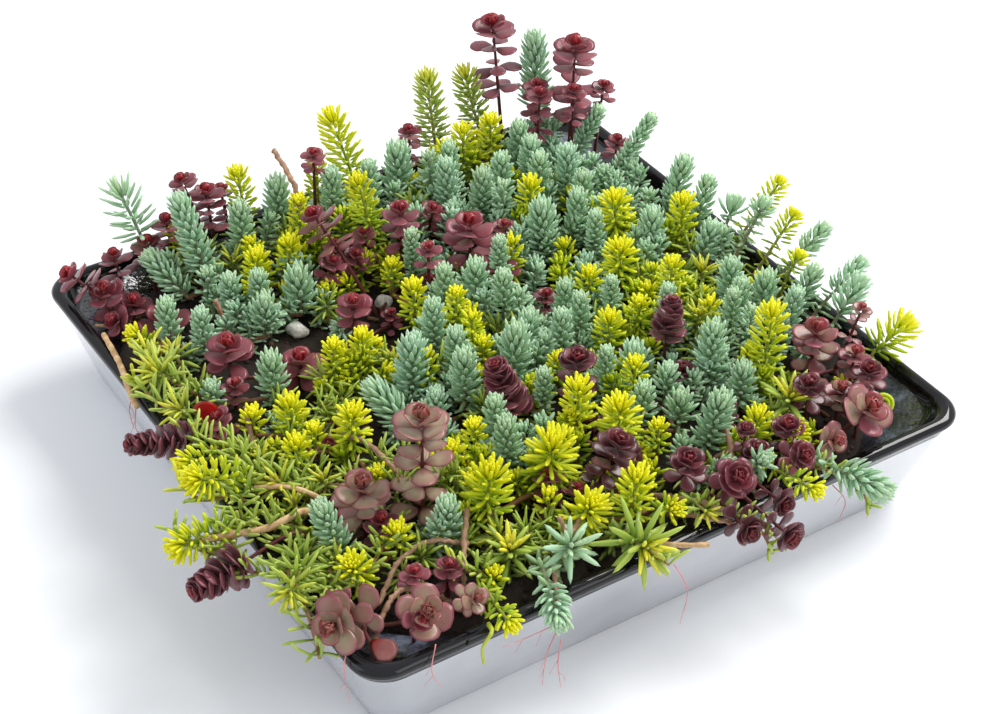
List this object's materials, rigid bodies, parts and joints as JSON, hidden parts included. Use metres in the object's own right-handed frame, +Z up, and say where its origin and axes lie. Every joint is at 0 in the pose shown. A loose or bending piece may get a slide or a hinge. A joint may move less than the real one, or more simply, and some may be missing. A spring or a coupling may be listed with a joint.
{
  "type": "potted flaming carpet stonecrop",
  "caption": "Square glazed dish filled with a mixed carpet of stonecrop: red rosettes among blue-green, yellow and green shoots that spill over the lip.",
  "frame": {"origin": "middle of the flat underside of the dish's foot, on the surface that it stands on", "axes": "+Z up; +X and +Y square to two sides of the dish, and the picture looks along +X and +Y from the low corner of both"},
  "size_m": [0.3255, 0.314, 0.1189],
  "materials": {
    "dish_glaze": "gloss black glaze",
    "soil": "moist crumbly potting soil",
    "blue_stonecrop": "waxy blue-green leaves with a pale bloom",
    "yellow_stonecrop": "satin lime and yellow leaves",
    "green_stonecrop": "satin green leaves",
    "red_stonecrop": "satin burgundy leaves with a dusty pink sheen"
  },
  "bodies": {
    "root": {"dish": "dish_glaze", "soil": "soil", "blue_stonecrop_01": "blue_stonecrop", "blue_stonecrop_02": "blue_stonecrop", "blue_stonecrop_03": "blue_stonecrop", "blue_stonecrop_04": "blue_stonecrop", "blue_stonecrop_05": "blue_stonecrop", "blue_stonecrop_06": "blue_stonecrop", "blue_stonecrop_07": "blue_stonecrop", "blue_stonecrop_08": "blue_stonecrop", "blue_stonecrop_09": "blue_stonecrop", "green_stonecrop_01": "green_stonecrop", "green_stonecrop_02": "green_stonecrop", "green_stonecrop_03": "green_stonecrop", "green_stonecrop_04": "green_stonecrop", "green_stonecrop_05": "green_stonecrop", "green_stonecrop_06": "green_stonecrop", "green_stonecrop_07": "green_stonecrop", "green_stonecrop_08": "green_stonecrop", "green_stonecrop_09": "green_stonecrop", "green_stonecrop_10": "green_stonecrop", "green_stonecrop_11": "green_stonecrop", "green_stonecrop_12": "green_stonecrop", "green_stonecrop_13": "green_stonecrop", "red_stonecrop_01": "red_stonecrop", "red_stonecrop_02": "red_stonecrop", "red_stonecrop_03": "red_stonecrop", "red_stonecrop_04": "red_stonecrop", "red_stonecrop_05": "red_stonecrop", "red_stonecrop_06": "red_stonecrop", "red_stonecrop_07": "red_stonecrop", "red_stonecrop_08": "red_stonecrop", "red_stonecrop_09": "red_stonecrop", "red_stonecrop_10": "red_stonecrop", "red_stonecrop_11": "red_stonecrop", "red_stonecrop_12": "red_stonecrop", "red_stonecrop_13": "red_stonecrop", "red_stonecrop_14": "red_stonecrop", "yellow_stonecrop_01": "yellow_stonecrop", "yellow_stonecrop_02": "yellow_stonecrop", "yellow_stonecrop_03": "yellow_stonecrop", "yellow_stonecrop_04": "yellow_stonecrop", "yellow_stonecrop_05": "yellow_stonecrop", "yellow_stonecrop_06": "yellow_stonecrop", "yellow_stonecrop_07": "yellow_stonecrop", "yellow_stonecrop_08": "yellow_stonecrop", "yellow_stonecrop_09": "yellow_stonecrop", "yellow_stonecrop_10": "yellow_stonecrop", "yellow_stonecrop_11": "yellow_stonecrop", "yellow_stonecrop_12": "yellow_stonecrop", "yellow_stonecrop_13": "yellow_stonecrop", "yellow_stonecrop_14": "yellow_stonecrop", "yellow_stonecrop_15": "yellow_stonecrop", "yellow_stonecrop_16": "yellow_stonecrop", "yellow_stonecrop_17": "yellow_stonecrop", "yellow_stonecrop_18": "yellow_stonecrop", "yellow_stonecrop_19": "yellow_stonecrop", "yellow_stonecrop_20": "yellow_stonecrop", "yellow_stonecrop_21": "yellow_stonecrop", "yellow_stonecrop_22": "yellow_stonecrop"}
  },
  "joints": []
}
